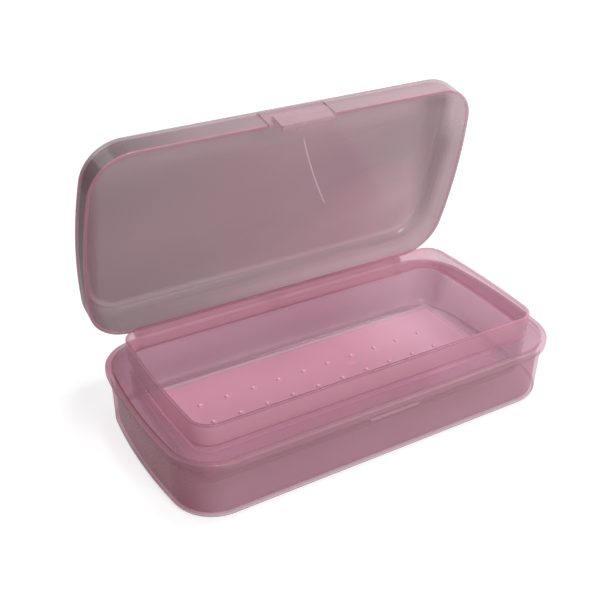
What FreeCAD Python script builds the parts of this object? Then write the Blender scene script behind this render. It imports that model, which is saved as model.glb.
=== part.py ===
import FreeCAD, Part
import math
import os
import re
import Sketcher

# A slim moulded box: tub, lift-out tray with a pip floor, hinged lid and a snap latch tongue.
# +X is the length, +Y the hinge side, +Z up; the origin is the middle of the underside.
# The lid and its latch stand open, as the hinge's rest position.

SIZES = {
    # tub
    "rim_half_length": 102.4,
    "rim_half_width": 51.9,
    "rim_corner_radius": 23.0,
    "rim_end_radius": 260.0,
    "rim_height": 31.0,
    "rim_band": 3.6,
    "rim_overhang": 2.0,
    "rim_edge_radius": 0.6,
    "rim_land": 2.5,
    "tub_wall": 1.7,
    "tub_floor": 1.8,
    "tub_edge_radius": 3.0,
    "wall_draft": 1.2,
    # catch lug under the rim, at the front
    "catch_width": 28.0,
    "catch_drop": 1.6,
    "catch_end_slope": 2.0,
    # tray
    "tray_flange": 1.5,
    "tray_seat_gap": 0.4,
    "collar_end_inset": 11.4,
    "collar_side_inset": 10.6,
    "collar_corner_radius": 10.0,
    "collar_end_radius": 420.0,
    "collar_rise": 12.4,
    "tray_wall": 1.4,
    "tray_floor": 1.4,
    "tray_floor_drop": 21.0,
    "tray_draft": 2.5,
    "tray_floor_radius": 6.0,
    "collar_lip_radius": 0.4,
    "pip_diameter": 2.8,
    "pip_height": 0.7,
    "pip_slope": 45.0,
    "pip_pitch": 14.0,
    "pip_columns": 10,
    "pip_rows": 3,
    # lid
    "lid_end_inset": 0.4,
    "lid_side_inset": 0.8,
    "lid_corner_radius": 21.0,
    "lid_gap": 0.3,
    "lid_depth": 17.5,
    "lid_wall": 1.5,
    "lid_edge_radius": 8.0,
    "lid_lip_radius": 0.4,
    "lid_open_angle": 77.5,
    # hinge
    "hinge_spacing": 78.0,
    "hinge_gap": 0.3,
    "knuckle_radius": 1.3,
    "knuckle_width": 70.0,
    "arm_rise": 2.8,
    "pin_radius": 1.0,
    "pin_clearance": 0.06,
    "ear_radius": 2.2,
    "ear_width": 3.0,
    "ear_drop": 7.0,
    # latch tongue
    "tongue_width": 33.0,
    "tongue_rise": 10.5,
    "tongue_wall": 1.5,
    "slit_width": 0.8,
    "root_gap": 0.3,
    "flap_width": 28.0,
    "flap_rise": 3.0,
    "flap_gap": 0.4,
    "hook_gap": 0.3,
    "hook_reach": 0.9,
    "hook_height": 0.9,
    "finger_lip": 0.8,
}

doc = FreeCAD.newDocument("bobbin_box")


def make_sheet():
    sheet = doc.addObject("Spreadsheet::Sheet", "Sizes")
    for row, (name, number) in enumerate(SIZES.items(), start=1):
        sheet.set(f"A{row}", name)
        sheet.set(f"B{row}", str(number))
        sheet.setAlias(f"B{row}", name)
    doc.recompute()
    return sheet


sheet = make_sheet()


def size(text):
    """An expression in which each size's name points at its cell in the sheet."""
    return re.sub(r"[a-z_]+", lambda word: f"Sizes.{word[0]}" if word[0] in SIZES else word[0], text)


def number(text):
    return float(sheet.evalExpression(size(text)))


# Heights and places that several pieces share
BAND_BOTTOM = "( rim_height - rim_band )"
SEAT = "( rim_height - tray_flange )"
TRAY_FLOOR_TOP = "( rim_height - tray_floor_drop )"
COLLAR_TOP = "( rim_height + collar_rise )"
HINGE_Y = "( rim_half_width + hinge_gap + knuckle_radius )"
HINGE_Z = "( rim_height + lid_gap )"
LID_HALF_WIDTH = "( rim_half_width - lid_side_inset )"
CATCH_BOTTOM = f"( {BAND_BOTTOM} - catch_drop )"


def new_body(name):
    body = doc.addObject("PartDesign::Body", name)
    body.Label = name
    return body


def origin_plane(body, role):
    return next(item for item in body.Origin.OriginFeatures if item.Role == role)


def new_sketch(body, name, role, offset="0", shift="0"):
    """A sketch on one of the body's own planes, moved along the plane's normal and its vertical."""
    sketch = body.newObject("Sketcher::SketchObject", name)
    sketch.AttachmentSupport = (origin_plane(body, role), [""])
    sketch.MapMode = "FlatFace"
    sketch.setExpression(".AttachmentOffset.Base.z", size(offset))
    sketch.setExpression(".AttachmentOffset.Base.y", size(shift))
    return sketch


def set_named(sketch, constraint, name, expression):
    index = sketch.addConstraint(constraint)
    sketch.renameConstraint(index, name)
    sketch.setExpression(f"Constraints.{name}", size(expression))


def draw_outline(sketch, half_length, half_width, end_radius, corner_radius):
    """A rounded oblong with straight long sides and short ends that bow outwards."""
    a, b, end, corner = (number(text) for text in (half_length, half_width, end_radius, corner_radius))
    rise = b - corner
    reach = math.sqrt((end - corner) ** 2 - rise ** 2)
    end_x = a - end
    corner_x = end_x + reach
    turn = math.atan2(rise, reach)
    up = FreeCAD.Vector(0, 0, 1)

    def arc(x, y, radius, start, stop):
        return Part.ArcOfCircle(Part.Circle(FreeCAD.Vector(x, y, 0), up, radius), start, stop)

    quarter = math.pi / 2
    half = math.pi
    sketch.addGeometry([
        Part.LineSegment(FreeCAD.Vector(-corner_x, -b, 0), FreeCAD.Vector(corner_x, -b, 0)),
        arc(corner_x, -rise, corner, -quarter, -turn),
        arc(end_x, 0, end, -turn, turn),
        arc(corner_x, rise, corner, turn, quarter),
        Part.LineSegment(FreeCAD.Vector(corner_x, b, 0), FreeCAD.Vector(-corner_x, b, 0)),
        arc(-corner_x, rise, corner, quarter, half - turn),
        arc(-end_x, 0, end, half - turn, half + turn),
        arc(-corner_x, -rise, corner, half + turn, half + quarter),
    ])
    front, back, right, left = 0, 4, 2, 6
    corners = (1, 3, 5, 7)
    for index in range(8):
        sketch.addConstraint(Sketcher.Constraint("Tangent", index, 2, (index + 1) % 8, 1))
    for line in (front, back):
        sketch.addConstraint(Sketcher.Constraint("Horizontal", line))
    for bow in (right, left):
        sketch.addConstraint(Sketcher.Constraint("PointOnObject", bow, 3, -1))
    for other in corners[1:]:
        sketch.addConstraint(Sketcher.Constraint("Equal", corners[0], other))
    sketch.addConstraint(Sketcher.Constraint("Equal", right, left))
    set_named(sketch, Sketcher.Constraint("Radius", corners[0], corner), "corner", corner_radius)
    set_named(sketch, Sketcher.Constraint("Radius", right, end), "bow", end_radius)
    set_named(sketch, Sketcher.Constraint("DistanceY", front, 1, -1, 1, b), "front", half_width)
    set_named(sketch, Sketcher.Constraint("DistanceY", -1, 1, back, 1, b), "back", half_width)
    set_named(sketch, Sketcher.Constraint("DistanceX", right, 3, -1, 1, -end_x), "right",
              f"{end_radius} - ( {half_length} )")
    set_named(sketch, Sketcher.Constraint("DistanceX", -1, 1, left, 3, -end_x), "left",
              f"{end_radius} - ( {half_length} )")


def draw_rim_outline(sketch, inset):
    """The rim's outline, drawn in by an even inset all round."""
    draw_outline(sketch, f"( rim_half_length - {inset} )", f"( rim_half_width - {inset} )",
                 f"( rim_end_radius - {inset} )", f"( rim_corner_radius - {inset} )")


def draw_collar_outline(sketch, inset):
    draw_outline(sketch, f"( rim_half_length - collar_end_inset - {inset} )",
                 f"( rim_half_width - collar_side_inset - {inset} )",
                 f"( collar_end_radius - {inset} )", f"( collar_corner_radius - {inset} )")


def draw_lid_outline(sketch, inset):
    draw_outline(sketch, f"( rim_half_length - lid_end_inset - {inset} )", f"( {LID_HALF_WIDTH} - {inset} )",
                 f"( rim_end_radius - lid_end_inset - {inset} )", f"( lid_corner_radius - {inset} )")


def fix_point(sketch, line, end, x, y):
    """Binds one point of a sketch to its place: on an axis where the place is zero, else by a distance."""
    for axis, kind, text in ((-2, "DistanceX", x), (-1, "DistanceY", y)):
        if text == "0":
            sketch.addConstraint(Sketcher.Constraint("PointOnObject", line, end, axis))
        else:
            distance = Sketcher.Constraint(kind, -1, 1, line, end, number(text))
            set_named(sketch, distance, f"{kind}_{line}", text)


def draw_polygon(sketch, points):
    """A closed polygon whose corners are pairs of expressions, each bound to the sheet."""
    places = [FreeCAD.Vector(number(x), number(y), 0) for x, y in points]
    count = len(places)
    for index in range(count):
        sketch.addGeometry(Part.LineSegment(places[index], places[(index + 1) % count]))
    for index in range(count):
        sketch.addConstraint(Sketcher.Constraint("Coincident", index, 2, (index + 1) % count, 1))
    for index, (x, y) in enumerate(points):
        fix_point(sketch, index, 1, x, y)


def draw_circle(sketch, x, y, radius):
    place = FreeCAD.Vector(number(x), number(y), 0)
    sketch.addGeometry(Part.Circle(place, FreeCAD.Vector(0, 0, 1), number(radius)))
    set_named(sketch, Sketcher.Constraint("Radius", 0, number(radius)), "radius", radius)
    fix_point(sketch, 0, 3, x, y)


def extrude(body, kind, name, sketch, length, reverse=False, draft=None, symmetric=False):
    """A pad or pocket of a sketch; a draft draws the far end in, and a pocket has to remove something."""
    before = body.Shape.Volume if body.Tip else 0.0
    feature = body.newObject(f"PartDesign::{kind}", name)
    feature.Profile = sketch
    feature.Reversed = reverse
    if symmetric:
        feature.SideType = "Symmetric"
    feature.setExpression("Length", size(length))
    if draft:
        feature.setExpression("TaperAngle", size(f"0 - {draft}"))
    doc.recompute()
    grew = body.Shape.Volume > before
    if grew != (kind == "Pad"):
        raise RuntimeError(f"{name} points the wrong way")
    return feature


def round_edges(body, name, feature, height, radius):
    """Rounds every edge of the feature that lies level at one height."""
    level = number(height)
    picked = []
    for index, edge in enumerate(feature.Shape.Edges, start=1):
        box = edge.BoundBox
        if abs(box.ZMin - level) < 1e-4 and abs(box.ZMax - level) < 1e-4:
            picked.append(f"Edge{index}")
    fillet = body.newObject("PartDesign::Fillet", name)
    fillet.Base = (feature, picked)
    fillet.setExpression("Radius", size(radius))
    doc.recompute()
    if not fillet.isValid():
        raise RuntimeError(f"{name} can't be rounded")
    return fillet


def hinge_sides():
    return (("left", "0 - hinge_spacing / 2"), ("right", "hinge_spacing / 2"))


def make_tub():
    body = new_body("base_tub")
    walls = new_sketch(body, "tub_walls", "XY_Plane", BAND_BOTTOM)
    draw_rim_outline(walls, "rim_overhang")
    shell = extrude(body, "Pad", "tub_block", walls, BAND_BOTTOM, reverse=True, draft="wall_draft")
    round_edges(body, "tub_lower_edge", shell, "0", "tub_edge_radius")

    rim = new_sketch(body, "rim_outline", "XY_Plane", BAND_BOTTOM)
    draw_rim_outline(rim, "0")
    band = extrude(body, "Pad", "rim_block", rim, "rim_band")
    eased = round_edges(body, "rim_upper_edge", band, "rim_height", "rim_edge_radius")
    round_edges(body, "rim_lower_edge", eased, BAND_BOTTOM, "rim_edge_radius")

    rebate = new_sketch(body, "rebate_outline", "XY_Plane", "rim_height")
    draw_rim_outline(rebate, "rim_land")
    extrude(body, "Pocket", "tray_rebate", rebate, "tray_flange")

    cavity = new_sketch(body, "cavity_outline", "XY_Plane", SEAT)
    draw_rim_outline(cavity, "( rim_overhang + tub_wall )")
    hollow = extrude(body, "Pocket", "tub_cavity", cavity, f"{SEAT} - tub_floor", draft="wall_draft")
    round_edges(body, "cavity_lower_edge", hollow, "tub_floor", "tub_edge_radius - tub_wall")

    make_catch(body)
    for name, place in hinge_sides():
        for end, side in (("inner", "-"), ("outer", "+")):
            make_ear(body, f"{name}_{end}_ear", f"{place} {side} ( knuckle_width / 2 + hinge_gap + ear_width / 2 )")
    bore = new_sketch(body, "ear_bores", "YZ_Plane")
    draw_circle(bore, HINGE_Y, HINGE_Z, "pin_radius + pin_clearance")
    extrude(body, "Pocket", "ear_bore", bore, "rim_half_length * 2", symmetric=True)
    return body


def make_catch(body):
    """The lug that the latch hooks under: it carries the rim's face on down at the front."""
    lug = new_sketch(body, "catch_outline", "XZ_Plane", "rim_half_width - rim_overhang - tub_wall / 2")
    half = "( catch_width / 2 )"
    draw_polygon(lug, [
        (f"0 - {half}", BAND_BOTTOM),
        (f"0 - {half} + catch_end_slope", CATCH_BOTTOM),
        (f"{half} - catch_end_slope", CATCH_BOTTOM),
        (half, BAND_BOTTOM),
    ])
    extrude(body, "Pad", "catch_lug", lug, "rim_overhang + tub_wall / 2")


def make_ear(body, name, place):
    """One hinge ear: a round boss behind the rim, on a web that runs down to the tub's wall."""
    inner = "( rim_half_width - rim_land / 2 )"
    web = new_sketch(body, f"{name}_web_outline", "YZ_Plane", place)
    draw_polygon(web, [
        (inner, f"{HINGE_Z} - ear_drop"),
        (f"{HINGE_Y} + ear_radius", HINGE_Z),
        (HINGE_Y, HINGE_Z),
        (inner, BAND_BOTTOM),
    ])
    extrude(body, "Pad", f"{name}_web", web, "ear_width", symmetric=True)
    boss = new_sketch(body, f"{name}_boss_outline", "YZ_Plane", place)
    draw_circle(boss, HINGE_Y, HINGE_Z, "ear_radius")
    extrude(body, "Pad", f"{name}_boss", boss, "ear_width", symmetric=True)


def make_tray():
    body = new_body("lift_out_tray")
    flange = new_sketch(body, "flange_outline", "XY_Plane", SEAT)
    draw_rim_outline(flange, "( rim_land + tray_seat_gap )")
    extrude(body, "Pad", "flange_plate", flange, "tray_flange")

    bottom = f"( {TRAY_FLOOR_TOP} - tray_floor )"
    collar = new_sketch(body, "collar_outline", "XY_Plane", COLLAR_TOP)
    draw_collar_outline(collar, "0")
    extrude(body, "Pad", "bowl_block", collar, f"{COLLAR_TOP} - {bottom}", reverse=True, draft="tray_draft")
    inside = new_sketch(body, "bowl_inside", "XY_Plane", COLLAR_TOP)
    draw_collar_outline(inside, "tray_wall")
    hollow = extrude(body, "Pocket", "bowl_cavity", inside, f"{COLLAR_TOP} - {TRAY_FLOOR_TOP}", draft="tray_draft")
    eased = round_edges(body, "bowl_floor_edge", hollow, TRAY_FLOOR_TOP, "tray_floor_radius")
    bowl = round_edges(body, "bowl_lower_edge", eased, bottom, "tray_floor_radius + tray_wall")
    round_edges(body, "collar_lip", bowl, COLLAR_TOP, "collar_lip_radius")
    make_pips(body)
    return body


def make_pips(body):
    """Rows of small bumps on the tray's floor."""
    first_x = "( 0 - pip_pitch * ( pip_columns - 1 ) / 2 )"
    first_y = "( 0 - pip_pitch * ( pip_rows - 1 ) / 2 )"
    pip = new_sketch(body, "pip_outline", "XY_Plane", TRAY_FLOOR_TOP)
    draw_circle(pip, first_x, first_y, "pip_diameter / 2")
    bump = extrude(body, "Pad", "pip", pip, "pip_height", draft="pip_slope")
    rows = body.newObject("PartDesign::LinearPattern", "pip_rows_and_columns")
    rows.Originals = [bump]
    rows.Direction = (pip, ["H_Axis"])
    rows.Direction2 = (pip, ["V_Axis"])
    rows.setExpression("Length", size("pip_pitch * ( pip_columns - 1 )"))
    rows.setExpression("Length2", size("pip_pitch * ( pip_rows - 1 )"))
    rows.setExpression("Occurrences", size("pip_columns"))
    rows.setExpression("Occurrences2", size("pip_rows"))
    body.Tip = rows
    doc.recompute()


def place_on_hinge(body):
    """Stands a piece that was drawn about the hinge axis, closed, at the lid's open angle."""
    body.setExpression(".Placement.Base.y", size(HINGE_Y))
    body.setExpression(".Placement.Base.z", size(HINGE_Z))
    body.Placement.Rotation = FreeCAD.Rotation(FreeCAD.Vector(-1, 0, 0), number("lid_open_angle"))
    body.setExpression(".Placement.Rotation.Angle", size("lid_open_angle"))
    doc.recompute()


def make_lid():
    body = new_body("lid")
    middle = f"0 - {HINGE_Y}"
    outside = new_sketch(body, "lid_outline", "XY_Plane", "0", middle)
    draw_lid_outline(outside, "0")
    extrude(body, "Pad", "lid_block", outside, "lid_depth", draft="wall_draft")
    inside = new_sketch(body, "lid_inside", "XY_Plane", "0", middle)
    draw_lid_outline(inside, "lid_wall")
    hollow = extrude(body, "Pocket", "lid_cavity", inside, "lid_depth - lid_wall", reverse=True, draft="wall_draft")
    eased = round_edges(body, "lid_cavity_edge", hollow, "lid_depth - lid_wall", "lid_edge_radius - lid_wall")
    crown = round_edges(body, "lid_upper_edge", eased, "lid_depth", "lid_edge_radius")
    round_edges(body, "lid_lip", crown, "0", "lid_lip_radius")

    notch = new_sketch(body, "notch_outline", "XZ_Plane", f"{HINGE_Y} + {LID_HALF_WIDTH} - lid_edge_radius")
    half = "( tongue_width / 2 + slit_width )"
    draw_polygon(notch, [
        (f"0 - {half}", "0 - lid_gap"),
        (half, "0 - lid_gap"),
        (half, "tongue_rise + root_gap"),
        (f"0 - {half}", "tongue_rise + root_gap"),
    ])
    extrude(body, "Pocket", "latch_notch", notch, "lid_edge_radius * 2", reverse=True)

    for name, place in hinge_sides():
        make_knuckle(body, name, place)
    place_on_hinge(body)
    return body


def make_knuckle(body, name, place):
    """One hinge arm from the lid's back wall, its barrel and the stub pin that turns in both ears."""
    wall = f"( 0 - {HINGE_Y} + {LID_HALF_WIDTH} )"
    arm = new_sketch(body, f"{name}_arm_outline", "YZ_Plane", place)
    draw_polygon(arm, [
        (f"{wall} - lid_wall / 2", "0"),
        ("0", "0"),
        ("0", "knuckle_radius"),
        (f"{wall} - lid_wall / 2", "arm_rise"),
    ])
    extrude(body, "Pad", f"{name}_arm", arm, "knuckle_width", symmetric=True)
    barrel = new_sketch(body, f"{name}_barrel_outline", "YZ_Plane", place)
    draw_circle(barrel, "0", "0", "knuckle_radius")
    extrude(body, "Pad", f"{name}_barrel", barrel, "knuckle_width", symmetric=True)
    pin = new_sketch(body, f"{name}_pin_outline", "YZ_Plane", place)
    draw_circle(pin, "0", "0", "pin_radius")
    extrude(body, "Pad", f"{name}_pin", pin, "knuckle_width + 2 * ( hinge_gap + ear_width )", symmetric=True)


def make_latch():
    """The tongue between the slits: a plate in line with the lid's wall, and a flap that hooks under the catch."""
    body = new_body("latch_tongue")
    front = f"( 0 - {HINGE_Y} - {LID_HALF_WIDTH} )"
    lean = "( tongue_rise * tan( wall_draft ) )"
    flap_in = f"( 0 - {HINGE_Y} - rim_half_width - flap_gap )"
    flap_out = f"( {flap_in} - tongue_wall )"
    hook_top = f"( {CATCH_BOTTOM} - hook_gap - {HINGE_Z} )"
    hook_low = f"( {hook_top} - hook_height )"
    hook_tip = f"( 0 - {HINGE_Y} - rim_half_width + hook_reach )"

    plate = new_sketch(body, "plate_outline", "YZ_Plane")
    draw_polygon(plate, [
        (front, "0"),
        (f"{front} + tongue_wall", "0"),
        (f"{front} + tongue_wall + {lean}", "tongue_rise"),
        (f"{front} + {lean}", "tongue_rise"),
    ])
    extrude(body, "Pad", "tongue_plate", plate, "tongue_width", symmetric=True)

    flap = new_sketch(body, "flap_outline", "YZ_Plane")
    draw_polygon(flap, [
        (f"{front} + tongue_wall / 2", "0"),
        (f"{front} + tongue_wall / 2", "flap_rise"),
        (flap_out, "flap_rise"),
        (flap_out, f"{hook_low} + finger_lip"),
        (f"{flap_out} - finger_lip", f"{hook_low} - finger_lip / 2"),
        (flap_in, f"{hook_low} - finger_lip / 2"),
        (hook_tip, hook_low),
        (hook_tip, hook_top),
        (flap_in, hook_top),
        (flap_in, "0"),
    ])
    extrude(body, "Pad", "tongue_flap", flap, "flap_width", symmetric=True)
    place_on_hinge(body)
    return body


def write_parts(bodies):
    doc.recompute()
    for item in doc.Objects:
        if "Invalid" in item.State or "Error" in item.State:
            raise RuntimeError(f"{item.Name} failed")
    for body in bodies:
        if body.Shape.isNull() or not body.Shape.isValid() or len(body.Shape.Solids) != 1:
            raise RuntimeError(f"{body.Label} is not one good solid")
    os.makedirs("parts", exist_ok=True)
    for body in bodies:
        body.Shape.exportStep(f"parts/{body.Label}.step")
        box = body.Shape.BoundBox
        print(body.Label, round(body.Shape.Volume / 1000, 2), "cm3",
              [round(value, 2) for value in (box.XMin, box.YMin, box.ZMin, box.XMax, box.YMax, box.ZMax)])


write_parts([make_tub(), make_tray(), make_lid(), make_latch()])
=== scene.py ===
import math

import bpy
from mathutils import Euler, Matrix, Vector

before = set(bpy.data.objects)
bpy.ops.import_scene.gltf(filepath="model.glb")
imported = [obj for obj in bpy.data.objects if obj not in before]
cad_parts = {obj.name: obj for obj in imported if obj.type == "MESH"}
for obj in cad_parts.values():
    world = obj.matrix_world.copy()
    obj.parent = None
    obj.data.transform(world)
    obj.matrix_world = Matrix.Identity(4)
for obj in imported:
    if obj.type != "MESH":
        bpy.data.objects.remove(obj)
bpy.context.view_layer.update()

MM = 0.001

# Directions of the box, which stands with its hinge at the back
ORIGIN = (0, 0, 0)
RIGHT = (1, 0, 0)
BACK = (0, 1, 0)
FRONT = (0, -1, 0)
UP = (0, 0, 1)

# The sizes of the solids that the looks refer to, in millimetres and degrees
RIM_HEIGHT = 31.0
COLLAR_TOP = 43.4
TRAY_FLOOR = 10.0
CATCH_HALF = 14.0
LID_DEPTH = 17.5
HINGE = (0.0, 53.5, 31.3)
OPEN_ANGLE = 77.5
SHARP_ANGLE = 35.0

# Linear colours: what the clear plastic lets through, and its haze in the tub, the tray and the lid, whose
# greyer, darker tones are painted shade
TUB_FILM = (0.90, 0.78, 0.83, 1)
TUB_FILM_DEEP = (0.88, 0.74, 0.80, 1)
# Painted shade: the film at the tub's left end
TUB_FILM_SHADED = (0.75, 0.53, 0.59, 1)
TUB_PINK = (0.59, 0.335, 0.40, 1)
TUB_PINK_PALE = (0.74, 0.50, 0.56, 1)
# Painted light and shade at the tub's foot: a pale line above a dark edge
FOOT_PALE = (0.86, 0.70, 0.75, 1)
FOOT_DEEP = (0.50, 0.26, 0.34, 1)
TRAY_FILM = (0.93, 0.86, 0.89, 1)
TRAY_FILM_DEEP = (0.91, 0.83, 0.87, 1)
BOWL = (0.68, 0.45, 0.53, 1)
BOWL_PALE = (1.0, 0.84, 0.88, 1)
COLLAR = (0.83, 0.48, 0.57, 1)
COLLAR_PALE = (0.94, 0.54, 0.66, 1)
FLOOR = (0.93, 0.48, 0.62, 1)
FLOOR_PALE = (1.0, 0.64, 0.78, 1)
DEEP_PINK = (1.0, 0.38, 0.56, 1)
PIP_PALE = (1.0, 0.80, 0.88, 1)
LIP = (0.46, 0.19, 0.28, 1)
LIP_BRIGHT = (0.95, 0.36, 0.52, 1)
LID_FILM = (0.77, 0.69, 0.71, 1)
LID_FILM_DEEP = (0.74, 0.63, 0.67, 1)
LID_FILM_GREY = (0.70, 0.63, 0.645, 1)
# Painted shade: the film at the lid's left end
LID_FILM_SHADED = (0.46, 0.31, 0.34, 1)
LID_LIP = (0.74, 0.36, 0.46, 1)
MAUVE = (0.215, 0.165, 0.17, 1)
MAUVE_DEEP = (0.305, 0.20, 0.23, 1)
MAUVE_PINK = (0.68, 0.43, 0.48, 1)
MAUVE_PALE = (0.88, 0.69, 0.73, 1)
MAUVE_END = (0.36, 0.19, 0.23, 1)
CROWN = (0.80, 0.50, 0.58, 1)

# Places are in millimetres and fields in metres; shares are a look's strength at the two ends of a span
FULL = (0.0, 1.0)
FALL = (1.0, 0.0)


class Graph:
    """A node tree, with short calls for the nodes that the materials share."""

    def __init__(self, owner):
        owner.use_nodes = True
        self.nodes = owner.node_tree.nodes
        self.links = owner.node_tree.links

    def put(self, socket, value):
        """Links an output into a socket, or sets a plain value on it."""
        if isinstance(value, bpy.types.NodeSocket):
            self.links.new(value, socket)
        else:
            socket.default_value = value

    def node(self, kind, inputs=(), **settings):
        node = self.nodes.new(kind)
        for key, value in settings.items():
            setattr(node, key, value)
        for key, value in dict(inputs).items():
            self.put(node.inputs[key], value)
        return node

    def place(self):
        return self.node("ShaderNodeTexCoord").outputs["Object"]

    def noise(self, place, scale, detail=1.0):
        inputs = {"Vector": place, "Scale": scale, "Detail": detail}
        return self.node("ShaderNodeTexNoise", inputs).outputs["Fac"]

    def ramp(self, value, span, shares=FULL):
        """Goes from one share to the other while a value crosses a span, and stays level outside it."""
        inputs = {
            "Value": value,
            "From Min": span[0],
            "From Max": span[1],
            "To Min": shares[0],
            "To Max": shares[1],
        }
        return self.node("ShaderNodeMapRange", inputs).outputs["Result"]

    def maths(self, operation, first, second):
        return self.node("ShaderNodeMath", {0: first, 1: second}, operation=operation).outputs["Value"]

    def product(self, first, *others):
        for other in others:
            first = self.maths("MULTIPLY", first, other)
        return first

    def most(self, first, second):
        return self.maths("MAXIMUM", first, second)

    def vector(self, operation, first, second=ORIGIN):
        node = self.node("ShaderNodeVectorMath", {0: first, 1: second}, operation=operation)
        return node.outputs["Value" if operation in ("DOT_PRODUCT", "LENGTH") else "Vector"]

    def along(self, place, origin, direction):
        """How far a point lies from an origin along a direction, in millimetres."""
        scaled = tuple(value / MM for value in direction)
        origin = tuple(value * MM for value in origin)
        return self.vector("DOT_PRODUCT", self.vector("SUBTRACT", place, origin), scaled)

    def across(self, place):
        return self.along(place, ORIGIN, RIGHT)

    def height(self, place):
        return self.along(place, ORIGIN, UP)

    def radius(self, offset):
        """How long an offset is, seen from above, in millimetres."""
        return self.vector("LENGTH", self.vector("MULTIPLY", offset, (1 / MM, 1 / MM, 0)))

    def band(self, value, limits, soft):
        """1 between two values and 0 outside them, with soft ends."""
        low, high = limits
        return self.product(self.ramp(value, (low - soft, low)), self.ramp(value, (high, high + soft), FALL))

    def within(self, place, half, soft):
        """1 inside a box about the origin, given by half its sizes in metres, and 0 past a soft edge."""
        beyond = self.vector("MAXIMUM", self.vector("SUBTRACT", self.vector("ABSOLUTE", place), half))
        return self.ramp(self.vector("LENGTH", beyond), (0.0, soft), FALL)

    def colour(self, share, low, high):
        return self.node("ShaderNodeMix", {0: share, 6: low, 7: high}, data_type="RGBA").outputs[2]

    def number(self, share, low, high):
        return self.node("ShaderNodeMix", {0: share, 2: low, 3: high}, data_type="FLOAT").outputs[0]


# The gloss of the plastic, the faint clouds in it and the ripple of its moulded faces
CLOUD_SPAN = (0.35, 0.65)
BASE_CLOUD_SCALE = 16.0
LID_CLOUD_SCALE = 9.0
LATCH_CLOUD_SCALE = 30.0
RIPPLE_SCALE = 45.0
RIPPLE_STRENGTH = 0.015
RIPPLE_DISTANCE = 0.002
GLOSS_SCALE = 90.0
GLOSS_DETAIL = 2.0
GLOSS_SPAN = (0.2, 0.8)
ROUGHNESS = (0.3, 0.36)
PLASTIC_IOR = 1.49
SPECULAR = 0.3
COAT = 0.7
COAT_ROUGHNESS = 0.1


def start_plastic(name):
    material = bpy.data.materials.new(name)
    return material, Graph(material)


def clouds(graph, place, scale):
    return graph.ramp(graph.noise(place, scale), CLOUD_SPAN)


def finish_plastic(material, graph, place, film, body, haze):
    """Clear tinted plastic: a film that colours what shows through it, and a share of glossy haze."""
    shader = graph.nodes["Principled BSDF"]
    clear = graph.node("ShaderNodeBsdfTransparent", {"Color": film})
    ripple = {
        "Strength": RIPPLE_STRENGTH,
        "Distance": RIPPLE_DISTANCE,
        "Height": graph.noise(place, RIPPLE_SCALE),
    }
    roughness = graph.ramp(graph.noise(place, GLOSS_SCALE, GLOSS_DETAIL), GLOSS_SPAN, ROUGHNESS)
    graph.put(shader.inputs["Base Color"], body)
    graph.put(shader.inputs["Roughness"], roughness)
    graph.put(shader.inputs["Normal"], graph.node("ShaderNodeBump", ripple).outputs["Normal"])
    shader.inputs["IOR"].default_value = PLASTIC_IOR
    shader.inputs["Specular IOR Level"].default_value = SPECULAR
    shader.inputs["Coat Weight"].default_value = COAT
    shader.inputs["Coat Roughness"].default_value = COAT_ROUGHNESS
    mixer = graph.node("ShaderNodeMixShader", {0: haze, 1: clear.outputs["BSDF"], 2: shader.outputs["BSDF"]})
    graph.put(graph.nodes["Material Output"].inputs["Surface"], mixer.outputs["Shader"])
    return material


# The tub: painted shade darkens its left end, and painted light makes its right end paler and clearer
TUB_SHADE_SPAN = (-84.0, -97.0)
TUB_PALE_SPAN = (-60.0, 110.0)
TUB_CLEAR_SPAN = (60.0, 98.0)
TUB_HAZE = (0.32, 0.2)

# Painted light and shade in the corner round its foot: a pale line above a dark edge
FOOT_FIELD = (0.079, 0.029, 1)
FOOT_FIELD_SOFT = 0.02
FOOT_OUTER_SPAN = (0.1, 0.05)
FOOT_LINE = (2.3, 2.9)
FOOT_LINE_SOFT = 0.4
FOOT_LINE_HAZE = 0.6
FOOT_EDGE_SPAN = (2.1, 1.8)
FOOT_EDGE_HAZE = 0.75
FOOT_RIGHT_SPAN = (80.0, 92.0)
FOOT_FRONT_SPAN = (-25.0, -40.0)
FOOT_FRONT_SHARES = (0.1, 1.0)

# The catch and the rim band
CATCH_SOFT = 0.0003
CATCH_FRONT_SPAN = (48.0, 49.0)
CATCH_HEIGHTS = (25.6, 27.4)
CATCH_HEIGHTS_SOFT = 0.3
RIM_SPAN = (RIM_HEIGHT - 3.4, RIM_HEIGHT - 2.6)
RIM_SHARES = (0.0, 0.5)
# Painted shade: the rim band is less pale towards the left end
RIM_LEFT_SPAN = (-96.0, -70.0)
RIM_LEFT_SHARES = (0.3, 1.0)
RIM_HAZE = 0.42


def foot_masks(graph, place, height):
    """Painted light and shade in the corner round the foot: a pale line above a dark edge."""
    outer = graph.ramp(graph.within(place, FOOT_FIELD, FOOT_FIELD_SOFT), FOOT_OUTER_SPAN)
    pale = graph.product(graph.band(height, FOOT_LINE, FOOT_LINE_SOFT), outer)
    # The painted shade of the dark edge fades at the right end, where light comes through the wall
    front = graph.ramp(graph.along(place, ORIGIN, BACK), FOOT_FRONT_SPAN, FOOT_FRONT_SHARES)
    kept = graph.number(graph.ramp(graph.across(place), FOOT_RIGHT_SPAN), 1.0, front)
    return pale, graph.product(graph.ramp(height, FOOT_EDGE_SPAN), outer, kept)


def catch_mask(graph, place, height):
    """The catch is a thicker pad under the front rim."""
    middle = graph.within(place, (CATCH_HALF * MM, 1, 1), CATCH_SOFT)
    front = graph.ramp(graph.along(place, ORIGIN, FRONT), CATCH_FRONT_SPAN)
    return graph.product(middle, front, graph.band(height, CATCH_HEIGHTS, CATCH_HEIGHTS_SOFT))


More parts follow.
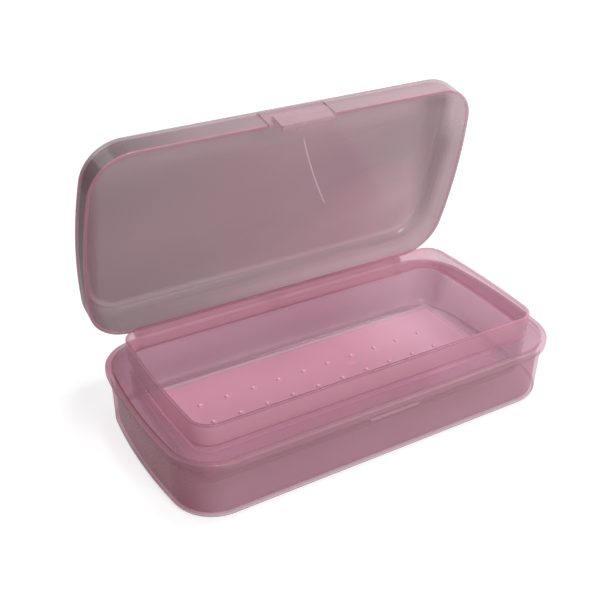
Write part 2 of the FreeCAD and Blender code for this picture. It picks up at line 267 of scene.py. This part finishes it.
def tub_plastic():
    material, graph = start_plastic("tub_plastic")
    place = graph.place()
    across = graph.across(place)
    height = graph.height(place)
    film = graph.colour(clouds(graph, place, BASE_CLOUD_SCALE), TUB_FILM, TUB_FILM_DEEP)
    # Painted shade: the film is darker at the left end
    film = graph.colour(graph.ramp(across, TUB_SHADE_SPAN), film, TUB_FILM_SHADED)
    # Painted light and shade at the foot
    pale, deep = foot_masks(graph, place, height)
    pad = catch_mask(graph, place, height)
    rim = graph.ramp(height, RIM_SPAN, RIM_SHARES)
    # Painted shade: the paler rim band fades towards the left end
    rim = graph.product(rim, graph.ramp(across, RIM_LEFT_SPAN, RIM_LEFT_SHARES))
    # Painted light: the body is paler towards the right end
    body = graph.colour(graph.ramp(across, TUB_PALE_SPAN), TUB_PINK, TUB_PINK_PALE)
    body = graph.colour(deep, body, FOOT_DEEP)
    body = graph.colour(pale, body, FOOT_PALE)
    body = graph.colour(pad, body, TUB_PINK_PALE)
    body = graph.colour(rim, body, TUB_PINK_PALE)
    haze = graph.number(graph.ramp(across, TUB_CLEAR_SPAN), *TUB_HAZE)
    haze = graph.number(graph.most(pad, rim), haze, RIM_HAZE)
    haze = graph.number(pale, haze, FOOT_LINE_HAZE)
    haze = graph.number(deep, haze, FOOT_EDGE_HAZE)
    return finish_plastic(material, graph, place, film, body, haze)


# The tray: painted shade darkens its left end, and painted light brightens it towards the right end
TRAY_SHADE_SPAN = (-91.0, -95.0)
TRAY_RIGHT_SPAN = (20.0, 92.0)
BOWL_HAZE = (0.22, 0.1)

# The collar above the rim, with its top edge and the seam where it meets the rim
COLLAR_SPAN = (RIM_HEIGHT, RIM_HEIGHT + 2.0)
COLLAR_END_SPAN = (82.0, 92.0)
COLLAR_HAZE = (0.4, 0.24)
LIP_SPAN = (COLLAR_TOP - 1.3, COLLAR_TOP - 0.5)
LIP_HAZE = 0.5
SEAM = (RIM_HEIGHT + 1.6, RIM_HEIGHT + 2.0)
SEAM_SOFT = 0.5

# Painted light: the middle of the tray floor is painted brighter, fading towards the walls, with a painted
# highlight where it turns up into them
FLOOR_FIELD = (0.0815, 0.0318, 1)
FLOOR_FIELD_SOFT = 0.0035
FLOOR_SPAN = (12.0, 11.0)
FLOOR_HAZE = (0.62, 0.95)
TURN = (0.2, 0.45)
TURN_SOFT = 0.2
TURN_SHARES = (0.0, 0.5)
TURN_HAZE = 0.6

# The pips stand in rows at this pitch, with painted highlights on their tops and painted shade in deep pink
# crescents behind them; the moulding gate left a mark between them
PIP_PITCH = 14.0
PIP_FIELD = (0.0675, 0.0185, 1)
PIP_FIELD_SOFT = 0.0005
PIP_LOW_SPAN = (TRAY_FLOOR + 0.8, TRAY_FLOOR + 0.9)
PIP_TOP_SPAN = (0.9, 0.5)
CRESCENT = (1.1, 1.9)
CRESCENT_SOFT = 0.5
CRESCENT_SIDE = (0.45, 0.9, 0)
CRESCENT_SIDE_SPAN = (0.3, 0.9)
GATE = (17.7, 8.7, 10.0)
GATE_SPAN = (2.6, 0.9)
GATE_HEIGHT_SPAN = (TRAY_FLOOR + 0.3, TRAY_FLOOR)
SPOT_HAZE = 0.8

# Painted shade in the back right corner and at the foot of the right wall
CORNER_BACK_SPAN = (20.0, 32.0)
CORNER_RIGHT_SPAN = (70.0, 84.0)
WALL_FOOT_RIGHT_SPAN = (82.0, 86.0)
WALL_FOOT_SPAN = (26.0, 12.0)
WALL_FOOT_SHARES = (0.0, 0.6)
CORNER_HAZE = 0.3


def pip_masks(graph, place, height):
    """Painted highlights on the pips' tops, and painted shade in deep pink crescents on the floor behind
    them.
    """
    half = 0.5 * PIP_PITCH * MM
    offset = graph.vector("SUBTRACT", place, (half, 0, 0))
    inputs = {0: offset, 1: (half, half, 1), 2: (-half, -half, -1)}
    offset = graph.node("ShaderNodeVectorMath", inputs, operation="WRAP").outputs["Vector"]
    radius = graph.radius(offset)
    field = graph.within(place, PIP_FIELD, PIP_FIELD_SOFT)
    field = graph.product(field, graph.ramp(height, PIP_LOW_SPAN, FALL))
    behind = graph.ramp(graph.along(offset, ORIGIN, CRESCENT_SIDE), CRESCENT_SIDE_SPAN)
    top = graph.product(graph.ramp(radius, PIP_TOP_SPAN), field)
    return top, graph.product(graph.band(radius, CRESCENT, CRESCENT_SOFT), behind, field)


def gate_mask(graph, place, height):
    offset = graph.vector("SUBTRACT", place, tuple(value * MM for value in GATE))
    return graph.product(graph.ramp(graph.radius(offset), GATE_SPAN), graph.ramp(height, GATE_HEIGHT_SPAN))


def floor_masks(graph, place, height):
    """Painted light on the tray's floor, and a painted highlight along the line where the floor turns up
    into the walls.
    """
    field = graph.within(place, FLOOR_FIELD, FLOOR_FIELD_SOFT)
    floor = graph.product(field, graph.ramp(height, FLOOR_SPAN))
    turn = graph.product(graph.band(field, TURN, TURN_SOFT), graph.ramp(height, FLOOR_SPAN, TURN_SHARES))
    return floor, turn


def deep_walls(graph, place, height):
    """Painted shade: the walls are painted darker in the back right corner and at the foot of the right end.
    """
    across = graph.across(place)
    back = graph.ramp(graph.along(place, ORIGIN, BACK), CORNER_BACK_SPAN)
    corner = graph.product(graph.ramp(across, CORNER_RIGHT_SPAN), back)
    low = graph.ramp(height, WALL_FOOT_SPAN, WALL_FOOT_SHARES)
    return graph.most(corner, graph.product(graph.ramp(across, WALL_FOOT_RIGHT_SPAN), low))


def tray_plastic():
    material, graph = start_plastic("tray_plastic")
    place = graph.place()
    across = graph.across(place)
    height = graph.height(place)
    film = graph.colour(clouds(graph, place, BASE_CLOUD_SCALE), TRAY_FILM, TRAY_FILM_DEEP)
    # Painted shade: the film is darker at the left end
    film = graph.colour(graph.ramp(across, TRAY_SHADE_SPAN), film, TUB_FILM_DEEP)
    # Painted light: the bowl, collar, floor and top edge are painted paler, and the haze thinner, towards
    # the right end
    right = graph.ramp(across, TRAY_RIGHT_SPAN)
    collar = graph.ramp(height, COLLAR_SPAN)
    # The top edge and the seam look deeper, because one looks along the wall there
    lip = graph.most(graph.ramp(height, LIP_SPAN), graph.band(height, SEAM, SEAM_SOFT))
    # Painted light on the floor, and a painted highlight where it turns up
    floor, turn = floor_masks(graph, place, height)
    # Painted highlights on the pips' tops and painted shade in crescents behind them
    top, crescent = pip_masks(graph, place, height)
    # The spots join the painted crescents of shade and the moulding gate's real mark
    spots = graph.most(crescent, gate_mask(graph, place, height))
    # Painted shade in the back right corner and at the foot of the right wall
    corner = deep_walls(graph, place, height)
    body = graph.colour(right, BOWL, BOWL_PALE)
    body = graph.colour(corner, body, BOWL)
    body = graph.colour(collar, body, graph.colour(right, COLLAR, COLLAR_PALE))
    body = graph.colour(floor, body, graph.colour(right, FLOOR, FLOOR_PALE))
    body = graph.colour(turn, body, PIP_PALE)
    body = graph.colour(spots, body, DEEP_PINK)
    body = graph.colour(top, body, PIP_PALE)
    body = graph.colour(lip, body, graph.colour(right, LIP, LIP_BRIGHT))
    haze = graph.number(right, *BOWL_HAZE)
    haze = graph.number(corner, haze, CORNER_HAZE)
    haze = graph.number(collar, haze, graph.number(graph.ramp(across, COLLAR_END_SPAN), *COLLAR_HAZE))
    haze = graph.number(floor, haze, graph.number(right, *FLOOR_HAZE))
    haze = graph.number(turn, haze, TURN_HAZE)
    haze = graph.number(graph.most(spots, top), haze, SPOT_HAZE)
    haze = graph.number(lip, haze, LIP_HAZE)
    return finish_plastic(material, graph, place, film, body, haze)


# Painted shade: the lid lets less light through towards its left end
GREY_ACROSS_SPAN = (20.0, -80.0)
GREY_RISE_SPAN = (88.0, 70.0)
LID_SHADE_SPAN = (-88.0, -99.0)
LID_RIGHT_SPAN = (80.0, 98.0)
LID_HAZE = (0.45, 0.3)
LID_LEFT_SPAN = (-95.0, -100.0)
LID_LEFT_HAZE = 0.3
LID_LIP_SPAN = (0.9, 0.4)
LID_LIP_HAZE = 0.6

# Painted reflection and shade: it is greyer at the upper left, pinker at the lower right where the tray is
# reflected, and has a slanting dark band between them
TONE_DIRECTION = (1, 0, -0.6)
TONE_SPAN = (-120.0, 40.0)
SLANT_MIDDLE = (0, 0, 86.0)
SLANT_DIRECTION = (-0.22, 0, 0.97)
SLANT = (-6.0, 6.0)
SLANT_SOFT = 30.0

# Painted light makes its walls paler, also by the latch, and painted shade makes it deeper at the bend into
# the crown and at the left end
LID_WALL_SPAN = (11.0, 6.0)
LID_WALL_SHARES = (0.0, 0.85)
LID_WALL_ACROSS_SPAN = (-40.0, 60.0)
STRIP_SPAN = (80.0, 97.0)
STRIP_SHARES = (0.0, 0.55)
STRIP_ACROSS_SPAN = (-98.0, -45.0)
BEND = (LID_DEPTH - 5.5, LID_DEPTH - 3.2)
BEND_SOFT = 1.5
BEND_SHARE = 0.7
LID_END_SPAN = (-91.0, -99.0)

# The outer faces of its crown and of its wall by the hinge
CROWN_SPAN = (LID_DEPTH - 0.9, LID_DEPTH - 0.5)
HINGE_WALL_SPAN = (3.3, 2.8)

# Painted shade on the broad round at its right end, and painted light on the wall in its upper right corner
ROUND_LEAN = 0.25
ROUND_SPAN = (95.0, 109.0)
ROUND_DEPTH_SPAN = (8.0, 15.5)
ROUND_RISE_SPAN = (94.0, 88.0)
ROUND_HAZE = 0.5
LID_CORNER_RISE_SPAN = (64.0, 82.0)
LID_CORNER_ACROSS_SPAN = (88.0, 97.0)
LID_CORNER_DEPTH_SPAN = (16.5, 11.5)
LID_CORNER_FILM_SHARE = 0.35
LID_CORNER_HAZE = 0.26

# A painted highlight along the crease round the inside of the crown, which fades in the broad round
CREASE = (LID_DEPTH - 2.2, LID_DEPTH - 1.8)
CREASE_SOFT = 0.3
CREASE_FADE_SPAN = (0.0, 0.6)
CREASE_SHARES = (0.5, 0.0)

# The fine pale streak inside the crown
STREAK_MIDDLE = 60.0
STREAK_BOW = 0.0024
STREAK_LEAN = 0.44
STREAK = (21.8, 22.4)
STREAK_SOFT = 0.25
STREAK_RISE = (41.0, 80.0)
STREAK_RISE_SOFT = 3.0
STREAK_DEPTH = (LID_DEPTH - 1.7, LID_DEPTH - 1.2)
STREAK_DEPTH_SOFT = 0.1


def lid_up():
    """The direction from the lid's rim to its crown at rest."""
    angle = math.radians(OPEN_ANGLE)
    return (0.0, math.sin(angle), math.cos(angle))


def lid_side():
    """The direction from the hinge to the latch at rest."""
    angle = math.radians(OPEN_ANGLE)
    return (0.0, -math.cos(angle), math.sin(angle))


class LidSpot:
    """A point of the lid: how far it lies to the right, from hinge to latch, and from rim to crown."""

    def __init__(self, graph):
        self.place = graph.place()
        self.across = graph.across(self.place)
        self.rise = graph.along(self.place, HINGE, lid_side())
        self.depth = graph.along(self.place, HINGE, lid_up())


def lid_film(graph, spot, light):
    film = graph.colour(clouds(graph, spot.place, LID_CLOUD_SCALE), LID_FILM, LID_FILM_DEEP)
    # Painted shade: the film is greyer at the upper left and darker at the left end
    left = graph.product(graph.ramp(spot.across, GREY_ACROSS_SPAN), graph.ramp(spot.rise, GREY_RISE_SPAN))
    film = graph.colour(left, film, LID_FILM_GREY)
    film = graph.colour(graph.ramp(spot.across, LID_SHADE_SPAN), film, LID_FILM_SHADED)
    return graph.colour(graph.product(light, LID_CORNER_FILM_SHARE), film, TRAY_FILM)


def lid_colours(graph, spot, deep, light):
    """The colours of the lid's haze: its broad tones, then its walls and rounds, then its outer faces. All
    but the outer faces carry painted light, shade and reflection.
    """
    # Painted reflection and shade: greyer upper left, pinker lower right, slanting dark band
    tone = graph.ramp(graph.along(spot.place, ORIGIN, TONE_DIRECTION), TONE_SPAN)
    slant = graph.along(spot.place, SLANT_MIDDLE, SLANT_DIRECTION)
    # Painted light on the walls and the strip by the latch, painted shade at the bend and the left end
    walls = graph.ramp(spot.depth, LID_WALL_SPAN, LID_WALL_SHARES)
    walls = graph.product(walls, graph.ramp(spot.across, LID_WALL_ACROSS_SPAN))
    strip = graph.ramp(spot.rise, STRIP_SPAN, STRIP_SHARES)
    strip = graph.product(strip, graph.ramp(spot.across, STRIP_ACROSS_SPAN))
    bend = graph.product(graph.band(spot.depth, BEND, BEND_SOFT), BEND_SHARE)
    outside = graph.most(graph.ramp(spot.depth, CROWN_SPAN), graph.ramp(spot.rise, HINGE_WALL_SPAN))
    body = graph.colour(tone, MAUVE, MAUVE_PINK)
    body = graph.colour(graph.band(slant, SLANT, SLANT_SOFT), body, MAUVE_DEEP)
    body = graph.colour(walls, body, MAUVE_PALE)
    body = graph.colour(strip, body, MAUVE_PALE)
    body = graph.colour(bend, body, MAUVE_DEEP)
    body = graph.colour(graph.ramp(spot.across, LID_END_SPAN), body, MAUVE_END)
    body = graph.colour(deep, body, MAUVE_DEEP)
    body = graph.colour(light, body, MAUVE_PALE)
    return graph.colour(outside, body, CROWN)


def lid_round(graph, spot):
    """Painted shade: the broad round at the lid's right end is painted deeper."""
    side = lid_side()
    reach = graph.along(spot.place, HINGE, (1.0, ROUND_LEAN * side[1], ROUND_LEAN * side[2]))
    deep = graph.product(graph.ramp(reach, ROUND_SPAN), graph.ramp(spot.depth, ROUND_DEPTH_SPAN))
    # It ends short of the lid's front wall
    return graph.product(deep, graph.ramp(spot.rise, ROUND_RISE_SPAN))


def lid_corner(graph, spot):
    """Painted light: the wall in the lid's upper right corner is painted paler and clearer, where light
    comes through.
    """
    high = graph.ramp(spot.rise, LID_CORNER_RISE_SPAN)
    right = graph.ramp(spot.across, LID_CORNER_ACROSS_SPAN)
    return graph.product(high, right, graph.ramp(spot.depth, LID_CORNER_DEPTH_SPAN))


def pale_streak(graph, spot):
    """A fine curved pale streak down the inside of the lid."""
    rise = graph.maths("SUBTRACT", spot.rise, STREAK_MIDDLE)
    slope = graph.maths("SUBTRACT", graph.product(rise, STREAK_BOW), STREAK_LEAN)
    aside = graph.maths("SUBTRACT", spot.across, graph.product(slope, rise))
    line = graph.band(aside, STREAK, STREAK_SOFT)
    line = graph.product(line, graph.band(spot.rise, STREAK_RISE, STREAK_RISE_SOFT))
    return graph.product(line, graph.band(spot.depth, STREAK_DEPTH, STREAK_DEPTH_SOFT))


def lid_plastic():
    material, graph = start_plastic("lid_plastic")
    spot = LidSpot(graph)
    # Painted shade on the broad round at the right end
    deep = lid_round(graph, spot)
    # Painted light on the wall in the upper right corner
    light = lid_corner(graph, spot)
    film = lid_film(graph, spot, light)
    lip = graph.ramp(spot.depth, LID_LIP_SPAN)
    # A painted highlight along the crease
    crease = graph.band(spot.depth, CREASE, CREASE_SOFT)
    crease = graph.product(crease, graph.ramp(deep, CREASE_FADE_SPAN, CREASE_SHARES))
    body = lid_colours(graph, spot, deep, light)
    body = graph.colour(graph.most(crease, pale_streak(graph, spot)), body, MAUVE_PALE)
    body = graph.colour(lip, body, LID_LIP)
    haze = graph.number(graph.ramp(spot.across, LID_RIGHT_SPAN), *LID_HAZE)
    haze = graph.number(graph.ramp(spot.across, LID_LEFT_SPAN), haze, LID_LEFT_HAZE)
    haze = graph.number(deep, haze, ROUND_HAZE)
    haze = graph.number(light, haze, LID_CORNER_HAZE)
    haze = graph.number(lip, haze, LID_LIP_HAZE)
    return finish_plastic(material, graph, spot.place, film, body, haze)


# The latch tongue is thin and pale
LATCH_PINK_SHARES = (0.0, 0.4)
LATCH_HAZE = (0.26, 0.32)


def latch_plastic():
    material, graph = start_plastic("latch_plastic")
    place = graph.place()
    cloud = clouds(graph, place, LATCH_CLOUD_SCALE)
    film = graph.colour(cloud, TRAY_FILM, TRAY_FILM_DEEP)
    body = graph.colour(graph.ramp(cloud, FULL, LATCH_PINK_SHARES), MAUVE_PALE, MAUVE_PINK)
    return finish_plastic(material, graph, place, film, body, graph.number(cloud, *LATCH_HAZE))


def dress_solids():
    for node, material in (
        ("base_tub", tub_plastic()),
        ("lift_out_tray", tray_plastic()),
        ("lid", lid_plastic()),
        ("latch_tongue", latch_plastic()),
    ):
        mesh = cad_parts[node].data
        mesh.materials.clear()
        mesh.materials.append(material)
        mesh.shade_smooth()
        mesh.set_sharp_from_angle(angle=math.radians(SHARP_ANGLE))


# The studio: a pale floor just below the box, white surroundings and soft lamps, in metres and watts
WHITE = (1, 1, 1, 1)
STAGE_GREY = (0.42, 0.42, 0.42, 1)
STAGE_ROUGHNESS = 0.9
STAGE_SPECULAR = 0.1
STAGE_GLOW = (0.0, 0.74)
STAGE_HALF = 4.0
STAGE_DROP = 0.0002
WORLD_LIGHT = (0.22, 1.0)
BOX_MIDDLE = (0, 0, 0.05)
LID_AND_TRAY = (0, 0.03, 0.06)

# The photograph's viewing angle, in metres, degrees and millimetres of lens
CAMERA_PLACE = (-0.21472, -0.32226, 0.28652)
CAMERA_TURN = (59.197, -0.853, -30.855)
CAMERA_LENS = 58.79
CAMERA_SENSOR = 36.0
CAMERA_NEAR = 0.01

# A line of sight can cross more than a dozen clear walls
CLEAR_WALLS = 32


def background_rays(graph):
    """1 for rays that show the background, seen directly, in a gloss or through glass, and 0 for light."""
    rays = graph.node("ShaderNodeLightPath").outputs
    return graph.most(graph.most(rays["Is Camera Ray"], rays["Is Transmission Ray"]), rays["Is Glossy Ray"])


def floor_material():
    material = bpy.data.materials.new("pale_floor")
    graph = Graph(material)
    shader = graph.nodes["Principled BSDF"]
    shader.inputs["Base Color"].default_value = STAGE_GREY
    shader.inputs["Roughness"].default_value = STAGE_ROUGHNESS
    shader.inputs["Specular IOR Level"].default_value = STAGE_SPECULAR
    shader.inputs["Emission Color"].default_value = WHITE
    graph.put(shader.inputs["Emission Strength"], graph.ramp(background_rays(graph), FULL, STAGE_GLOW))
    return material


def make_floor():
    """A plain pale floor that reads white and keeps a soft shadow."""
    mesh = bpy.data.meshes.new("floor")
    corners = [(x * STAGE_HALF, y * STAGE_HALF, 0) for x, y in ((-1, -1), (1, -1), (1, 1), (-1, 1))]
    mesh.from_pydata(corners, [], [(0, 1, 2, 3)])
    mesh.materials.append(floor_material())
    floor = bpy.data.objects.new("floor", mesh)
    floor.location.z = -STAGE_DROP
    bpy.context.scene.collection.objects.link(floor)


def make_world():
    world = bpy.data.worlds.new("studio")
    bpy.context.scene.world = world
    graph = Graph(world)
    background = graph.nodes["Background"]
    background.inputs["Color"].default_value = WHITE
    graph.put(background.inputs["Strength"], graph.ramp(background_rays(graph), FULL, WORLD_LIGHT))


def add_light(name, place, target, size, power):
    data = bpy.data.lights.new(name, "AREA")
    data.shape = "DISK"
    data.size = size
    data.energy = power
    light = bpy.data.objects.new(name, data)
    light.location = place
    light.rotation_euler = (Vector(target) - Vector(place)).to_track_quat("-Z", "Y").to_euler()
    bpy.context.scene.collection.objects.link(light)


def make_lights():
    add_light("key", (0.75, -0.1, 1.1), BOX_MIDDLE, size=0.6, power=6.5)
    add_light("overhead", (0.1, 0.0, 1.2), BOX_MIDDLE, size=0.18, power=2.6)
    add_light("front", (0.05, -0.89, 0.58), LID_AND_TRAY, size=0.3, power=4.6)
    add_light("back", (-0.45, 0.95, 0.75), BOX_MIDDLE, size=0.6, power=2.2)


def make_camera():
    data = bpy.data.cameras.new("camera")
    data.lens = CAMERA_LENS
    data.sensor_width = CAMERA_SENSOR
    data.clip_start = CAMERA_NEAR
    camera = bpy.data.objects.new("camera", data)
    camera.location = CAMERA_PLACE
    camera.rotation_euler = Euler([math.radians(angle) for angle in CAMERA_TURN], "XYZ")
    bpy.context.scene.collection.objects.link(camera)
    bpy.context.scene.camera = camera


make_camera()
dress_solids()
make_floor()
make_world()
make_lights()
bpy.context.scene.cycles.transparent_max_bounces = CLEAR_WALLS
bpy.context.scene.view_settings.view_transform = "Standard"
